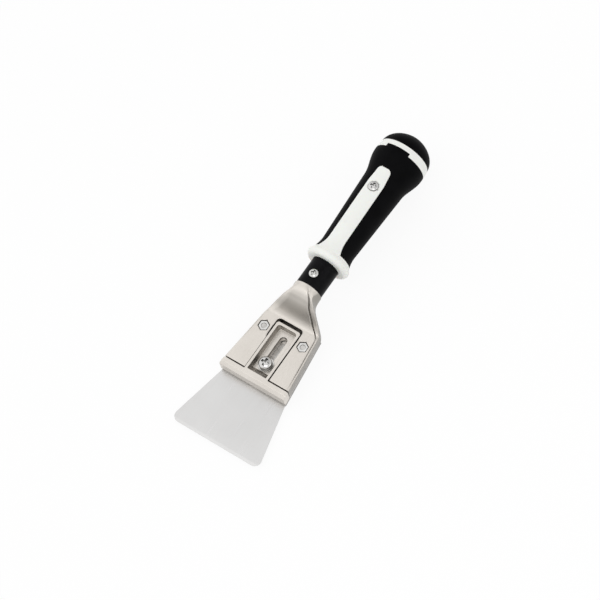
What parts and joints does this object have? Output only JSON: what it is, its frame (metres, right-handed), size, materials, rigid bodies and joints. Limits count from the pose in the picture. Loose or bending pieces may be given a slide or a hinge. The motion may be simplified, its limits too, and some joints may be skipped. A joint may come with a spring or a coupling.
{
  "type": "razor blade scraper",
  "caption": "Hand scraper: a trapezoid blade held by a screw-down T-shaped clamp plate in a cast metal head, on a round shaft with a two-colour grip.",
  "frame": {"origin": "centre of the tool's box, on the plane of the head's back", "axes": "+X from the cutting edge to the handle end, +Z from the back of the head to its face"},
  "size_m": [0.2088, 0.058, 0.0375],
  "materials": {
    "blade_steel": "finely brushed spring steel",
    "cast_metal": "satin nickel-plated casting",
    "plate_steel": "plain zinc-plated steel",
    "bright_screws": "bright plated",
    "brass_inserts": "turned brass",
    "black_shaft": "satin black coated tube",
    "core_plastic": "moulded, natural white",
    "white_plastic": "moulded, satin white",
    "soft_grip": "soft black elastomer"
  },
  "bodies": {
    "tool_body": {"head_casting": "cast_metal", "back_plate": "plate_steel", "clamp_bush": "brass_inserts", "left_nut": "bright_screws", "right_nut": "bright_screws", "left_bolt": "plate_steel", "right_bolt": "plate_steel", "shaft_tube": "black_shaft", "shaft_screw": "bright_screws", "shaft_plug": "brass_inserts", "handle_core": "core_plastic", "collar_strip": "white_plastic", "grip_sleeve": "soft_grip", "end_ring": "white_plastic", "end_cap": "soft_grip", "handle_screw": "bright_screws"},
    "washers": {"flat_washer": "bright_screws", "spring_washer": "plate_steel"},
    "clamp_screw": {"clamp_screw": "bright_screws"},
    "clamp_plate": {"clamp_plate": "cast_metal"},
    "blade": {"blade": "blade_steel"}
  },
  "joints": [
    {"name": "screw_lift", "type": "slide", "parent": "tool_body", "child": "washers", "axis": [0, 0, 1], "range_m": [0, 0.00105]},
    {"name": "screw_turn", "type": "hinge", "parent": "washers", "child": "clamp_screw", "pos_m": [-0.05185, 0, 0.0089], "axis": [0, 0, 1], "range_deg": [0, 540]},
    {"name": "plate_slide", "type": "slide", "parent": "washers", "child": "clamp_plate", "axis": [-1, 0, 0], "range_m": [0, 0.0168]},
    {"name": "blade_slide", "type": "slide", "parent": "tool_body", "child": "blade", "axis": [-1, 0, 0], "range_m": [0, 0.033]}
  ],
  "couplings": [
    {"joint": "screw_turn", "follows": "screw_lift", "rad_per_m": 8975.9}
  ]
}
